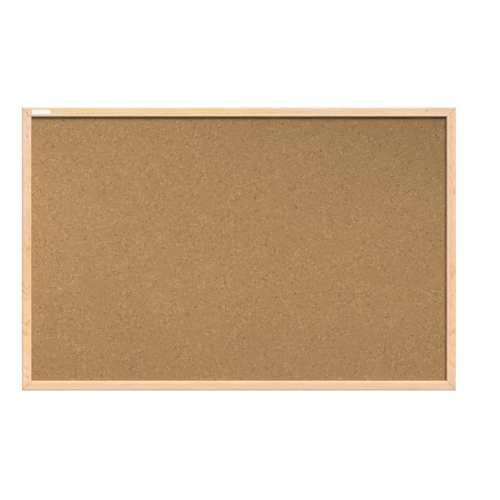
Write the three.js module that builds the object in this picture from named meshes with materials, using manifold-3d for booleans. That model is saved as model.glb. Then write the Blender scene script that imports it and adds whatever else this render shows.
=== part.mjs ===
// Framed cork board: mitred wooden rails, a cork sheet on a softboard core, and two D-ring hangers.
// Millimetres, +Z up. The board stands upright, X runs along its width and its face looks to -Y.
// The origin is the middle of the plane in which the rails' back faces lie.
import * as THREE from 'three';
import { mergeVertices } from 'three/addons/utils/BufferGeometryUtils.js';
import Module from 'manifold-3d';

// Board
const boardWidth = 900;
const boardHeight = 587;

// Rail moulding
const railFace = 20;
const rebateWidth = 6;
const recessDepth = 5.5;
const rearRecess = 2;
const outerArrisRadius = 3;
const innerArrisRadius = 2.2;
const backArrisRadius = 1;
const mitreGap = 0.2;

// Panel
const corkThickness = 1.5;
const coreThickness = 6;
const panelClearance = 0.5;

// Blank label on the top rail
const labelWidth = 38;
const labelHeight = 9;
const labelThickness = 0.2;
const labelCornerRadius = 0.8;
const labelEdgeDistance = 22;

// V-nails that draw the mitres together
const vNailsPerCorner = 2;
const vNailGauge = 0.5;
const vNailLegLength = 5;
const vNailLipLength = 0.8;
const vNailHeight = 7;
const vNailSunkDepth = 0.2;
const vNailEdgeDistance = 3.5;
const vNailPitch = 5.5;

// Flat steel points that hold the panel in its rebate
const pointsOnLongRail = 4;
const pointsOnShortRail = 2;
const pointGauge = 0.5;
const pointWidth = 9;
const pointGripDepth = 6;
const pointReachLength = 8;
const pointTipLength = 3;
const pointCornerRadius = 1.5;

// Hanger strap
const strapGauge = 0.8;
const strapWidth = 8;
const strapSlitWidth = 0.2;
const strapBendRadius = 1;
const strapEndMargin = 4.5;
const hangerDropDepth = 60;

// Hanger ring
const wireDiameter = 1.6;
const ringSideGap = 1;
const ringCornerRadius = 1.5;
const ringReachLength = 10.5;

// Hanger screws
const screwsPerStrap = 2;
const screwPitch = 9.5;
const screwDiameter = 3;
const screwLength = 10;
const screwPointLength = 2.5;
const headDiameter = 5.6;
const headHeight = 2;
const headRimHeight = 0.7;
const crossWidth = 0.8;
const crossLength = 3;
const crossDepth = 1.1;

// Clearances and cuts
const turningClearance = 0.3;
const seatClearance = 0.3;
const headClearance = 0.7;
const cutOverrun = 1;
const samePlace = 0.001;

// Facets
const arcSteps = 6;
const wireSides = 12;
const barrelSteps = 12;
const turnedSides = 24;
const domeSteps = 5;

// Worked out from the sizes above
const railDepth = recessDepth + corkThickness + coreThickness + rearRecess;
const rebateDepth = railDepth - recessDepth;
const railLand = railFace - rebateWidth;
const wireRadius = wireDiameter / 2;
const barrelBoreRadius = wireRadius + turningClearance;
const barrelCentre = strapGauge + barrelBoreRadius;
const strapThickness = 2 * strapGauge + strapSlitWidth;
const hangerInset = railLand / 2;
const hangerHeight = boardHeight / 2 - hangerDropDepth;
const ringHalfWidth = strapWidth / 2 + ringSideGap + wireRadius;
const ringRestLift = strapThickness + turningClearance + wireRadius - barrelCentre;
const ringRestTilt = Math.asin(ringRestLift / ringReachLength);
const firstScrewDrop = ringReachLength + wireRadius + headClearance + headDiameter / 2;
const strapLength = firstScrewDrop + (screwsPerStrap - 1) * screwPitch + strapEndMargin;
const screwHoleRadius = screwDiameter / 2 + seatClearance;
const quarterTurn = Math.PI / 2;
const halfTurn = Math.PI;

const wood = { color: '#efc9a2', roughness: 0.55, metalness: 0 };
const cork = { color: '#b18d61', roughness: 0.95, metalness: 0 };
const softboard = { color: '#a88c6a', roughness: 0.95, metalness: 0 };
const paper = { color: '#f4f2f0', roughness: 0.6, metalness: 0 };
const zincPlate = { color: '#c3c5c7', roughness: 0.35, metalness: 1 };
const nailSteel = { color: '#8f9296', roughness: 0.45, metalness: 1 };

const wasm = await Module();
wasm.setup();

const board = new THREE.Group();

function addPiece(name, geometry, finish, parent = board) {
  const piece = new THREE.Mesh(geometry, new THREE.MeshStandardMaterial(finish));
  piece.name = name;
  parent.add(piece);
  return piece;
}

// Joining and cutting

function toSolid(geometry) {
  const bare = geometry.clone();
  bare.deleteAttribute('normal');
  bare.deleteAttribute('uv');
  const merged = mergeVertices(bare);
  const vertProperties = new Float32Array(merged.attributes.position.array);
  const triVerts = new Uint32Array(merged.index.array);
  return new wasm.Manifold(new wasm.Mesh({ numProp: 3, vertProperties, triVerts }));
}

function toGeometry(solid) {
  const mesh = solid.getMesh();
  const geometry = new THREE.BufferGeometry();
  geometry.setAttribute('position', new THREE.BufferAttribute(mesh.vertProperties, 3));
  geometry.setIndex(new THREE.BufferAttribute(mesh.triVerts, 1));
  geometry.computeVertexNormals();
  return geometry;
}

function cut(geometry, cutters) {
  return toGeometry(cutters.reduce((solid, cutter) => solid.subtract(toSolid(cutter)), toSolid(geometry)));
}

// Shapes and slabs

// An outline drawn in X and Z becomes a slab that runs from the back value of Y towards the front
function slab(outline, back, thickness) {
  const geometry = new THREE.ExtrudeGeometry(outline, {
    depth: thickness,
    bevelEnabled: false,
    curveSegments: arcSteps,
  });
  geometry.rotateX(quarterTurn);
  geometry.translate(0, back, 0);
  return geometry;
}

function rectangle(width, height) {
  const corners = [[-1, -1], [1, -1], [1, 1], [-1, 1]];
  return new THREE.Shape(corners.map(([x, y]) => new THREE.Vector2(x * width / 2, y * height / 2)));
}

function roundedRectangle(width, height, radius) {
  const outline = new THREE.Shape();
  const x = width / 2 - radius;
  const y = height / 2 - radius;
  outline.absarc(x, -y, radius, -quarterTurn, 0);
  outline.absarc(x, y, radius, 0, quarterTurn);
  outline.absarc(-x, y, radius, quarterTurn, halfTurn);
  outline.absarc(-x, -y, radius, halfTurn, halfTurn + quarterTurn);
  return outline;
}

// A strip of even gauge along a bent line, with both ends run on by the overrun
function strip(points, gauge, overrun = 0) {
  const apart = points.filter((point, i) => i === 0 || point.distanceTo(points[i - 1]) > samePlace);
  const line = apart.map((point) => point.clone());
  const last = line.length - 1;
  const steps = line.slice(1).map((point, i) => point.clone().sub(line[i]).normalize());
  line[0].addScaledVector(steps[0], -overrun);
  line[last].addScaledVector(steps[last - 1], overrun);
  const side = (step) => new THREE.Vector2(-step.y, step.x);
  const edge = (offset) => line.map((point, i) => {
    const before = side(steps[Math.max(i - 1, 0)]);
    const after = side(steps[Math.min(i, last - 1)]);
    const across = before.clone().add(after).normalize();
    return point.clone().addScaledVector(across, offset / across.dot(before));
  });
  return new THREE.Shape([...edge(gauge / 2), ...edge(-gauge / 2).reverse()]);
}

// Rails

// The moulding's section: X runs from the outer edge inwards, Y from the front to the back plane
function railSection() {
  const section = new THREE.Shape();
  const innerX = railFace - innerArrisRadius;
  const innerY = innerArrisRadius - railDepth;
  const outerY = outerArrisRadius - railDepth;
  section.moveTo(backArrisRadius, 0);
  section.lineTo(railLand, 0);
  section.lineTo(railLand, -rebateDepth);
  section.lineTo(railFace, -rebateDepth);
  section.absarc(innerX, innerY, innerArrisRadius, 0, -quarterTurn, true);
  section.absarc(outerArrisRadius, outerY, outerArrisRadius, -quarterTurn, -halfTurn, true);
  section.absarc(backArrisRadius, -backArrisRadius, backArrisRadius, halfTurn, quarterTurn, true);
  return section;
}

// The bent line of a V-nail, in distances from a corner's two outer edges
function vNailLine(index) {
  const apex = vNailEdgeDistance + index * vNailPitch;
  const end = apex + vNailLegLength;
  const lip = vNailLipLength * Math.SQRT1_2;
  return [
    new THREE.Vector2(end + lip, apex - lip),
    new THREE.Vector2(end, apex),
    new THREE.Vector2(apex, apex),
    new THREE.Vector2(apex, end),
    new THREE.Vector2(apex - lip, end + lip),
  ];
}

function vNailSlot(index, end, railLength) {
  const corner = railLength / 2;
  const line = vNailLine(index).map((point) => new THREE.Vector2(point.x, end * (corner - point.y)));
  const outline = strip(line, vNailGauge + 2 * seatClearance, seatClearance);
  return slab(outline, cutOverrun, cutOverrun + vNailSunkDepth + vNailHeight + seatClearance);
}

function pointSlot(place) {
  const width = pointGripDepth + seatClearance + cutOverrun;
  const slot = new THREE.BoxGeometry(width, pointGauge + 2 * seatClearance, pointWidth + 2 * seatClearance);
  slot.translate(railLand + cutOverrun - width / 2, pointGauge / 2 - rearRecess, place);
  return slot;
}

function pilotHole(place) {
  const depth = cutOverrun + screwLength - strapThickness + seatClearance;
  const hole = new THREE.CylinderGeometry(screwHoleRadius, screwHoleRadius, depth, turnedSides);
  hole.translate(hangerInset, cutOverrun - depth / 2, place);
  return hole;
}

// A rail in its own frame: X inwards from the outer edge, Z along the rail, mitred at both ends
function railGeometry(length, pointPlaces, screwPlaces) {
  const rail = new THREE.ExtrudeGeometry(railSection(), {
    depth: 1,
    bevelEnabled: false,
    curveSegments: arcSteps,
  });
  const position = rail.attributes.position;
  for (let i = 0; i < position.count; i += 1) {
    const end = position.getZ(i) > 0 ? 1 : -1;
    position.setZ(i, end * ((length - mitreGap) / 2 - position.getX(i)));
  }
  const cutters = [...pointPlaces.map(pointSlot), ...screwPlaces.map(pilotHole)];
  for (let index = 0; index < vNailsPerCorner; index += 1) {
    cutters.push(vNailSlot(index, 1, length), vNailSlot(index, -1, length));
  }
  return cut(rail, cutters);
}

// Evenly spread places along a length, each in the middle of its share
function spread(count, length) {
  return Array.from({ length: count }, (_, i) => length * ((i + 1 / 2) / count - 1 / 2));
}

const longPlaces = spread(pointsOnLongRail, boardWidth);
const shortPlaces = spread(pointsOnShortRail, boardHeight);
const screwHeights = Array.from(
  { length: screwsPerStrap },
  (_, i) => hangerHeight - firstScrewDrop - i * screwPitch,
);

// The rails are alike but for their length, their turn about Y and what is driven into them
function addRail(name, x, z, turn, geometry) {
  const rail = addPiece(name, geometry, wood);
  rail.position.set(x, 0, z);
  rail.rotation.y = turn;
}

const longRail = railGeometry(boardWidth, longPlaces, []);
const leftRail = railGeometry(boardHeight, shortPlaces, screwHeights);
const rightRail = railGeometry(boardHeight, shortPlaces, screwHeights.map((height) => -height));
addRail('top_rail', 0, boardHeight / 2, quarterTurn, longRail);
addRail('bottom_rail', 0, -boardHeight / 2, -quarterTurn, longRail.clone());
addRail('left_rail', -boardWidth / 2, 0, 0, leftRail);
addRail('right_rail', boardWidth / 2, 0, halfTurn, rightRail);

// Panel

const panelWidth = boardWidth - 2 * railLand - 2 * panelClearance;
const panelHeight = boardHeight - 2 * railLand - 2 * panelClearance;
const panelBack = -rearRecess;
const corkBack = panelBack - coreThickness;
addPiece('core_board', slab(rectangle(panelWidth, panelHeight), panelBack, coreThickness), softboard);
addPiece('cork_sheet', slab(rectangle(panelWidth, panelHeight), corkBack, corkThickness), cork);

// Blank label

const labelOutline = roundedRectangle(labelWidth, labelHeight, labelCornerRadius);
const label = slab(labelOutline, -railDepth, labelThickness);
const labelMiddle = labelEdgeDistance + labelWidth / 2 - boardWidth / 2;
const faceMiddle = (outerArrisRadius + railFace - innerArrisRadius) / 2;
addPiece('blank_label', label, paper).position.set(labelMiddle, 0, boardHeight / 2 - faceMiddle);

// V-nails

function addVNails(cornerName, sideX, sideZ) {
  for (let index = 0; index < vNailsPerCorner; index += 1) {
    const line = vNailLine(index).map((point) => new THREE.Vector2(
      sideX * (boardWidth / 2 - point.x),
      sideZ * (boardHeight / 2 - point.y),
    ));
    const vNail = slab(strip(line, vNailGauge), -vNailSunkDepth, vNailHeight);
    addPiece(`v_nail_${cornerName}_${index + 1}`, vNail, nailSteel);
  }
}

addVNails('top_left', -1, 1);
addVNails('top_right', 1, 1);
addVNails('bottom_left', -1, -1);
addVNails('bottom_right', 1, -1);

// Panel points

// Pointed where it is driven into the rail, at +Y here, and rounded where it lies on the panel
function pointOutline() {
  const outline = new THREE.Shape();
  const half = pointWidth / 2;
  const cornerX = half - pointCornerRadius;
  const cornerZ = pointCornerRadius - pointReachLength;
  outline.moveTo(half, pointGripDepth - pointTipLength);
  outline.lineTo(0, pointGripDepth);
  outline.lineTo(-half, pointGripDepth - pointTipLength);
  outline.absarc(-cornerX, cornerZ, pointCornerRadius, halfTurn, halfTurn + quarterTurn);
  outline.absarc(cornerX, cornerZ, pointCornerRadius, -quarterTurn, 0);
  return outline;
}

function addPoint(name, x, z, turn) {
  const point = addPiece(name, slab(pointOutline(), panelBack + pointGauge, pointGauge), nailSteel);
  point.position.set(x, 0, z);
  point.rotation.y = turn;
}

const wallX = boardWidth / 2 - railLand;
const wallZ = boardHeight / 2 - railLand;
longPlaces.forEach((place, i) => {
  addPoint(`panel_point_top_${i + 1}`, place, wallZ, 0);
  addPoint(`panel_point_bottom_${i + 1}`, place, -wallZ, halfTurn);
});
shortPlaces.forEach((place, i) => {
  addPoint(`panel_point_left_${i + 1}`, -wallX, place, -quarterTurn);
  addPoint(`panel_point_right_${i + 1}`, wallX, place, quarterTurn);
});

// Hangers

// Side view of the strap, folded double round the ring's bar: X runs down from the bar, Y off the rail
function strapSection() {
  const bendRadius = barrelBoreRadius + strapGauge / 2;
  const upperLeaf = strapThickness - strapGauge / 2;
  const filletRise = upperLeaf + strapBendRadius - barrelCentre;
  const filletRun = Math.sqrt((bendRadius + strapBendRadius) ** 2 - filletRise ** 2);
  const filletAngle = Math.atan2(filletRise, filletRun);
  const line = new THREE.Path();
  line.moveTo(strapLength, strapGauge / 2);
  line.lineTo(0, strapGauge / 2);
  line.absarc(0, barrelCentre, bendRadius, -quarterTurn, filletAngle - 2 * halfTurn, true);
  const filletY = barrelCentre + filletRise;
  line.absarc(filletRun, filletY, strapBendRadius, halfTurn + filletAngle, halfTurn + quarterTurn);
  line.lineTo(strapLength, upperLeaf);
  return strip(line.getPoints(barrelSteps), strapGauge);
}

// The strap seen from behind: square at the barrel, round at its foot
function strapPlan() {
  const half = strapWidth / 2;
  const plan = new THREE.Shape();
  plan.moveTo(half, barrelCentre + cutOverrun);
  plan.lineTo(-half, barrelCentre + cutOverrun);
  plan.absarc(0, half - strapLength, half, halfTurn, 2 * halfTurn);
  return plan;
}

function strapGeometry() {
  const roughWidth = strapWidth + 2 * cutOverrun;
  const folded = new THREE.ExtrudeGeometry(strapSection(), { depth: roughWidth, bevelEnabled: false });
  folded.translate(0, 0, -roughWidth / 2);
  folded.rotateY(quarterTurn);
  const reach = 2 * barrelCentre + cutOverrun;
  const plan = toSolid(slab(strapPlan(), reach, reach + cutOverrun));
  const holes = Array.from({ length: screwsPerStrap }, (_, i) => {
    const hole = new THREE.CylinderGeometry(screwHoleRadius, screwHoleRadius, 2 * reach, turnedSides);
    return hole.translate(0, 0, -firstScrewDrop - i * screwPitch);
  });
  return cut(toGeometry(toSolid(folded).intersect(plan)), holes);
}

// The D of the ring's wire: a straight bar at the top and a half circle at the foot
function ringOutline() {
  const outline = new THREE.Path();
  const half = ringHalfWidth;
  outline.absarc(half - ringCornerRadius, -ringCornerRadius, ringCornerRadius, quarterTurn, 0, true);
  outline.absarc(0, half - ringReachLength, half, 0, -halfTurn, true);
  outline.absarc(ringCornerRadius - half, -ringCornerRadius, ringCornerRadius, halfTurn, quarterTurn, true);
  return outline.getPoints(2 * arcSteps);
}

// A round wire along a flat closed loop in X and Z: the rings of points are joined end to end
function wireLoop(loop, radius, sides) {
  const corners = [];
  const triangles = [];
  loop.forEach((point, i) => {
    const before = loop[(i + loop.length - 1) % loop.length];
    const after = loop[(i + 1) % loop.length];
    const arriving = point.clone().sub(before).normalize();
    const along = after.clone().sub(point).normalize().add(arriving).normalize();
    for (let k = 0; k < sides; k += 1) {
      const angle = 2 * halfTurn * k / sides;
      const out = radius * Math.cos(angle) / along.dot(arriving);
      corners.push(point.x - along.y * out, radius * Math.sin(angle), point.y + along.x * out);
      const here = i * sides + k;
      const beside = i * sides + (k + 1) % sides;
      const ahead = ((i + 1) % loop.length) * sides;
      triangles.push(here, ahead + k, beside, beside, ahead + k, ahead + (k + 1) % sides);
    }
  });
  const wire = new THREE.BufferGeometry();
  wire.setAttribute('position', new THREE.Float32BufferAttribute(corners, 3));
  wire.setIndex(triangles);
  wire.computeVertexNormals();
  return wire;
}

// A pan head on a plain shank with a cone point, turned about Y, with the head's underside at zero
function screwGeometry() {
  const shank = screwDiameter / 2;
  const head = headDiameter / 2;
  const dome = headHeight - headRimHeight;
  const profile = [
    new THREE.Vector2(0, -screwLength),
    new THREE.Vector2(shank, screwPointLength - screwLength),
    new THREE.Vector2(shank, 0),
    new THREE.Vector2(head, 0),
  ];
  for (let i = 0; i < domeSteps; i += 1) {
    const angle = quarterTurn * i / domeSteps;
    profile.push(new THREE.Vector2(head * Math.cos(angle), headRimHeight + dome * Math.sin(angle)));
  }
  profile.push(new THREE.Vector2(0, headHeight));
  const slotHeight = crossDepth + cutOverrun;
  const slotMiddle = headHeight - crossDepth + slotHeight / 2;
  const slots = [[crossWidth, crossLength], [crossLength, crossWidth]].map(([width, length]) => (
    new THREE.BoxGeometry(width, slotHeight, length).translate(0, slotMiddle, 0)
  ));
  return cut(new THREE.LatheGeometry(profile, turnedSides), slots);
}

function addHanger(sideName, x) {
  const hanger = new THREE.Group();
  hanger.position.set(x, 0, hangerHeight);
  board.add(hanger);
  addPiece(`${sideName}_hanger_strap`, strapGeometry(), zincPlate, hanger);
  const wire = wireLoop(ringOutline(), wireRadius, wireSides);
  const ring = addPiece(`${sideName}_hanger_ring`, wire, zincPlate, hanger);
  ring.position.y = barrelCentre;
  ring.rotation.x = ringRestTilt;
  for (let i = 0; i < screwsPerStrap; i += 1) {
    const screw = addPiece(`${sideName}_hanger_screw_${i + 1}`, screwGeometry(), zincPlate, hanger);
    screw.position.set(0, strapThickness, -firstScrewDrop - i * screwPitch);
  }
}

addHanger('left', hangerInset - boardWidth / 2);
addHanger('right', boardWidth / 2 - hangerInset);

export default board;
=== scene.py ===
"""Dresses a framed cork notice board: mitred pine mouldings, pressed cork, softboard and steel fittings."""

import math

import bmesh
import bpy
from bpy.props import FloatProperty, FloatVectorProperty, IntProperty, PointerProperty
from mathutils import Matrix, Vector, noise


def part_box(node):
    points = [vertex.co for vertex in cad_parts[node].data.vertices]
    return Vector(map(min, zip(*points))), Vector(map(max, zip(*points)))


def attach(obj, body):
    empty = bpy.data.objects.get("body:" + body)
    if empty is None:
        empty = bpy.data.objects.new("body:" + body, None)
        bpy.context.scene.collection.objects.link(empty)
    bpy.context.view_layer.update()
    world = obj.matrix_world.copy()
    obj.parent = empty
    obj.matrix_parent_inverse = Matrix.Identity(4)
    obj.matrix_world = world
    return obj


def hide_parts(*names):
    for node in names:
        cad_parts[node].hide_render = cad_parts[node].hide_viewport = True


bl_info = {
    "name": "Cork Board",
    "version": (1, 0, 0),
    "blender": (4, 5, 0),
    "location": "View3D > Sidebar > Cork Board",
    "description": "Makes the rails, cork, backing, label and hangers of a framed cork board",
    "category": "Add Mesh",
}

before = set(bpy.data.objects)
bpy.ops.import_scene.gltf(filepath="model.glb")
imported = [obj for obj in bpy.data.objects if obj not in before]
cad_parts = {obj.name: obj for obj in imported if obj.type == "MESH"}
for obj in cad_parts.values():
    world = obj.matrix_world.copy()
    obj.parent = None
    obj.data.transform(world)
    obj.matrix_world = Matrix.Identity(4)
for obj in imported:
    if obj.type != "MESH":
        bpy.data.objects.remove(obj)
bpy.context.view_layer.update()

MM = 0.001
NEAR = 1e-6  # Points closer than this, in metres, lie in one place
BOARD = "board"
QUARTER_TURN = math.pi / 2


def tone(red, green, blue):
    """A display colour, each part from 0 to 255, as linear light."""
    parts = (part / 255 for part in (red, green, blue))
    return tuple(p / 12.92 if p <= 0.04045 else ((p + 0.055) / 1.055) ** 2.4 for p in parts)


def size_of(node):
    low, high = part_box(node)
    return high - low


# Sizes that the frame gives

OUTER_LOW, OUTER_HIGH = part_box("left_rail")[0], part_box("right_rail")[1]
BOARD_WIDTH = OUTER_HIGH.x - OUTER_LOW.x
BOARD_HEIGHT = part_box("top_rail")[1].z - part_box("bottom_rail")[0].z
RAIL_FACE = size_of("top_rail").z
RAIL_DEPTH = size_of("top_rail").y
CORK_LOW, CORK_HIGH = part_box("cork_sheet")
CORE_LOW, CORE_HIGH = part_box("core_board")
MITRE_GAP = BOARD_WIDTH - size_of("top_rail").x


# How finely the shapes are made

FACETS = dict(
    arris=8, label_corner=6, wire_bend=10, wire_loop=48, barrel=40, strap_bend=12, strap_foot=14, dome=10
)
THREAD_CUTS = 56
MOULDING_CELL = 12 * MM
RELIEF_WAVES = (9, 140)  # Per metre, in the relief of the cork and the softboard
CROSS_TAPER = 0.55  # The cross recess's floor, as a share of its mouth
PLAIN_NECK = 2  # The unthreaded length under a screw's head, in pitches
LABEL_EASE = 0.4  # The round on the label's rim, as a share of its thickness


# Settings


def number(name, description, default, **options):
    return FloatProperty(name=name, description=description, default=default, **options)


def length(name, description, default):
    return number(name, description, default, min=0, unit="LENGTH", precision=5)


def share(name, description, default):
    return number(name, description, default, min=0, max=1, subtype="FACTOR")


def turn(name, description, degrees):
    return number(name, description, math.radians(degrees), subtype="ANGLE")


def colour(name, description, *levels):
    return FloatVectorProperty(
        name=name, description=description, default=tone(*levels), min=0, max=1, size=3, subtype="COLOR"
    )


class MouldingSettings(bpy.types.PropertyGroup):
    """The rails' section and their pine"""

    panel_clearance: length("Panel clearance", "Gap between the panel and the rebate's wall", 0.5 * MM)
    outer_arris: length("Outer arris", "Radius of the front edge on the outside", 3 * MM)
    inner_arris: length("Inner arris", "Radius of the front edge next to the cork", 2.2 * MM)
    back_arris: length("Back arris", "Radius of the edge next to the wall", 1 * MM)
    mitre_ease: length("Mitre ease", "Width sanded off the mitres' edges", 0.15 * MM)
    slot_clearance: length("Slot clearance", "Room round the nails, points and screws", 0.3 * MM)
    early_wood: colour("Early wood", "The pale, wide part of a growth ring", 245, 210, 170)
    late_wood: colour("Late wood", "The darker, narrow part of a growth ring", 211, 160, 112)
    knot_wood: colour("Knot wood", "The heart of a pin knot", 150, 96, 58)
    straw: colour("Straw", "Tint of the yellower streaks", 255, 254, 246)
    blush: colour("Blush", "Tint of the pinker streaks", 253, 249, 255)
    # A painted highlight: the colour of the bright line along the edge next to the cork
    painted_inner_highlight: colour("Inner line", "The freshly cut edge next to the cork", 255, 218, 178)


class CorkSettings(bpy.types.PropertyGroup):
    """The pressed cork sheet"""

    granule: length("Granule", "Width of a usual cork granule", 1.5 * MM)
    relief: length("Relief", "How far the pressed face rises and falls", 0.1 * MM)
    cell: length("Mesh cell", "Width of one cell of the sheet's mesh", 4 * MM)
    body: colour("Cork", "The granules' usual colour", 179, 140, 95)
    pale: colour("Pale cork", "The lightest granules", 207, 168, 120)
    bark: colour("Bark", "The dark flecks of bark", 114, 82, 52)


class CoreSettings(bpy.types.PropertyGroup):
    """The softboard behind the cork"""

    relief: length("Relief", "How far the back's face rises and falls", 0.2 * MM)
    screen: length("Screen pitch", "Spacing of the drying screen's print on the back", 2.6 * MM)
    fibre: colour("Fibre", "The softboard's usual colour", 176, 148, 112)
    pale_fibre: colour("Pale fibre", "The palest fibres", 206, 182, 148)
    dark_fibre: colour("Dark fibre", "The darkest fibres", 134, 104, 74)


class LabelSettings(bpy.types.PropertyGroup):
    """The blank label"""

    corner: length("Corner radius", "Radius of the label's corners", 0.8 * MM)
    film: colour("Film", "The label's colour", 247, 245, 243)


class FittingSettings(bpy.types.PropertyGroup):
    """The steel fittings on the back"""

    gauge: length("Strap gauge", "Thickness of the hanger's steel", 0.8 * MM)
    slit: length("Slit", "Gap between the folded strap's two leaves", 0.2 * MM)
    strap_bend: length("Strap bend", "Inner radius where the strap leaves the barrel", 0.6 * MM)
    foot_flat: length("Foot flat", "Flat left at the strap's rounded foot", 0.04 * MM)
    wire: length("Wire", "Diameter of the ring's wire", 1.6 * MM)
    wire_bend: length("Wire bend", "Radius of the ring's two upper corners, at the wire's middle", 1.5 * MM)
    shank: length("Shank", "Diameter of the screws' shank", 3 * MM)
    point: length("Screw point", "Length of the screws' point", 2.5 * MM)
    thread_pitch: length("Thread pitch", "From one turn of the thread to the next", 1.25 * MM)
    thread_depth: length("Thread depth", "How deep the thread is cut", 0.4 * MM)
    head: length("Head height", "Height of the screws' heads", 2 * MM)
    head_rim: length("Head rim", "Height of the upright rim of the screws' heads", 0.7 * MM)
    cross_width: length("Cross width", "Width of the cross recess's arms", 0.8 * MM)
    cross_reach: length("Cross reach", "Length of the cross recess's arms from tip to tip", 3 * MM)
    cross_depth: length("Cross depth", "Depth of the cross recess", 1.1 * MM)
    screw_hole: length("Screw hole", "Diameter of the strap's screw holes", 3.6 * MM)
    sides: IntProperty(
        name="Sides", description="Sides of the wire and the turned parts", default=24, min=8, max=64
    )
    plate_ease: length("Plate ease", "Width rounded off the plated edges", 0.12 * MM)
    nail_ease: length("Nail ease", "Width rounded off the bright steel's edges", 0.06 * MM)
    zinc: colour("Zinc", "The plating's colour", 160, 164, 169)
    steel: colour("Steel", "The bright nail steel's colour", 150, 151, 153)
    rust: colour("Rust", "The trace of rust on the nail steel", 132, 92, 62)


class StageSettings(bpy.types.PropertyGroup):
    """Camera, floor and light"""

    camera_distance: length("Camera distance", "From the board's back to the camera", 1.5)
    camera_side: length("Camera side", "How far the camera stands to the right of the middle", 0.0230)
    camera_drop: length("Camera drop", "How far the camera stands below the middle", 0.0023)
    view_share: share("Board in view", "The board's width as a share of the picture's", 0.86816)
    floor_drop: length("Floor drop", "From the board's middle to the floor, as it usually hangs", 1.6)
    floor_reach: length("Floor reach", "From the floor's middle to its edges", 8)
    floor_lit: share("Floor in light", "The floor's grey for the light it throws back", 0.16)
    floor_seen: share("Floor in view", "The floor's grey as the camera sees it", 0.92)
    key_strength: number("Key strength", "Strength of the main light", 4.1, min=0)
    key_height: turn("Key height", "The main light's angle above the horizon", 46)
    key_side: turn("Key side", "The main light's turn to the right", 24)
    rear_strength: number("Rear strength", "Strength of the light behind the board", 3.1, min=0)
    rear_height: turn("Rear height", "The rear light's angle above the horizon", 2)
    rear_side: turn("Rear side", "The rear light's turn to the right", 215)
    softness: turn("Softness", "Width of both lights as an angle", 40)
    ambient: share("Ambient", "Light that comes from all around", 0.17)


def settings(name):
    """One group of the scene's settings."""
    return getattr(bpy.context.scene, name)


# Finishes: values that take sums, and one way to add a node


def maths(operation, reflected=False):
    """A method that puts its values through a Math node, with its own value last where it is reflected."""

    def method(self, *others):
        values = (*others, self) if reflected else (self, *others)
        return self.finish.node("ShaderNodeMath", {"operation": operation}, dict(enumerate(values)))

    return method


class Field:
    """A value that varies over a surface; sums on it add Math nodes."""

    __add__, __radd__ = maths("ADD"), maths("ADD", reflected=True)
    __sub__, __rsub__ = maths("SUBTRACT"), maths("SUBTRACT", reflected=True)
    __mul__, __rmul__ = maths("MULTIPLY"), maths("MULTIPLY", reflected=True)
    __truediv__, __rtruediv__ = maths("DIVIDE"), maths("DIVIDE", reflected=True)
    __abs__ = maths("ABSOLUTE")
    floor, sine, root = maths("FLOOR"), maths("SINE"), maths("SQRT")
    least, most = maths("MINIMUM"), maths("MAXIMUM")

    def __init__(self, finish, socket):
        self.finish = finish
        self.socket = socket

    def output(self, name):
        """Another output of the node that this value comes from."""
        return Field(self.finish, self.socket.node.outputs[name])


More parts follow.
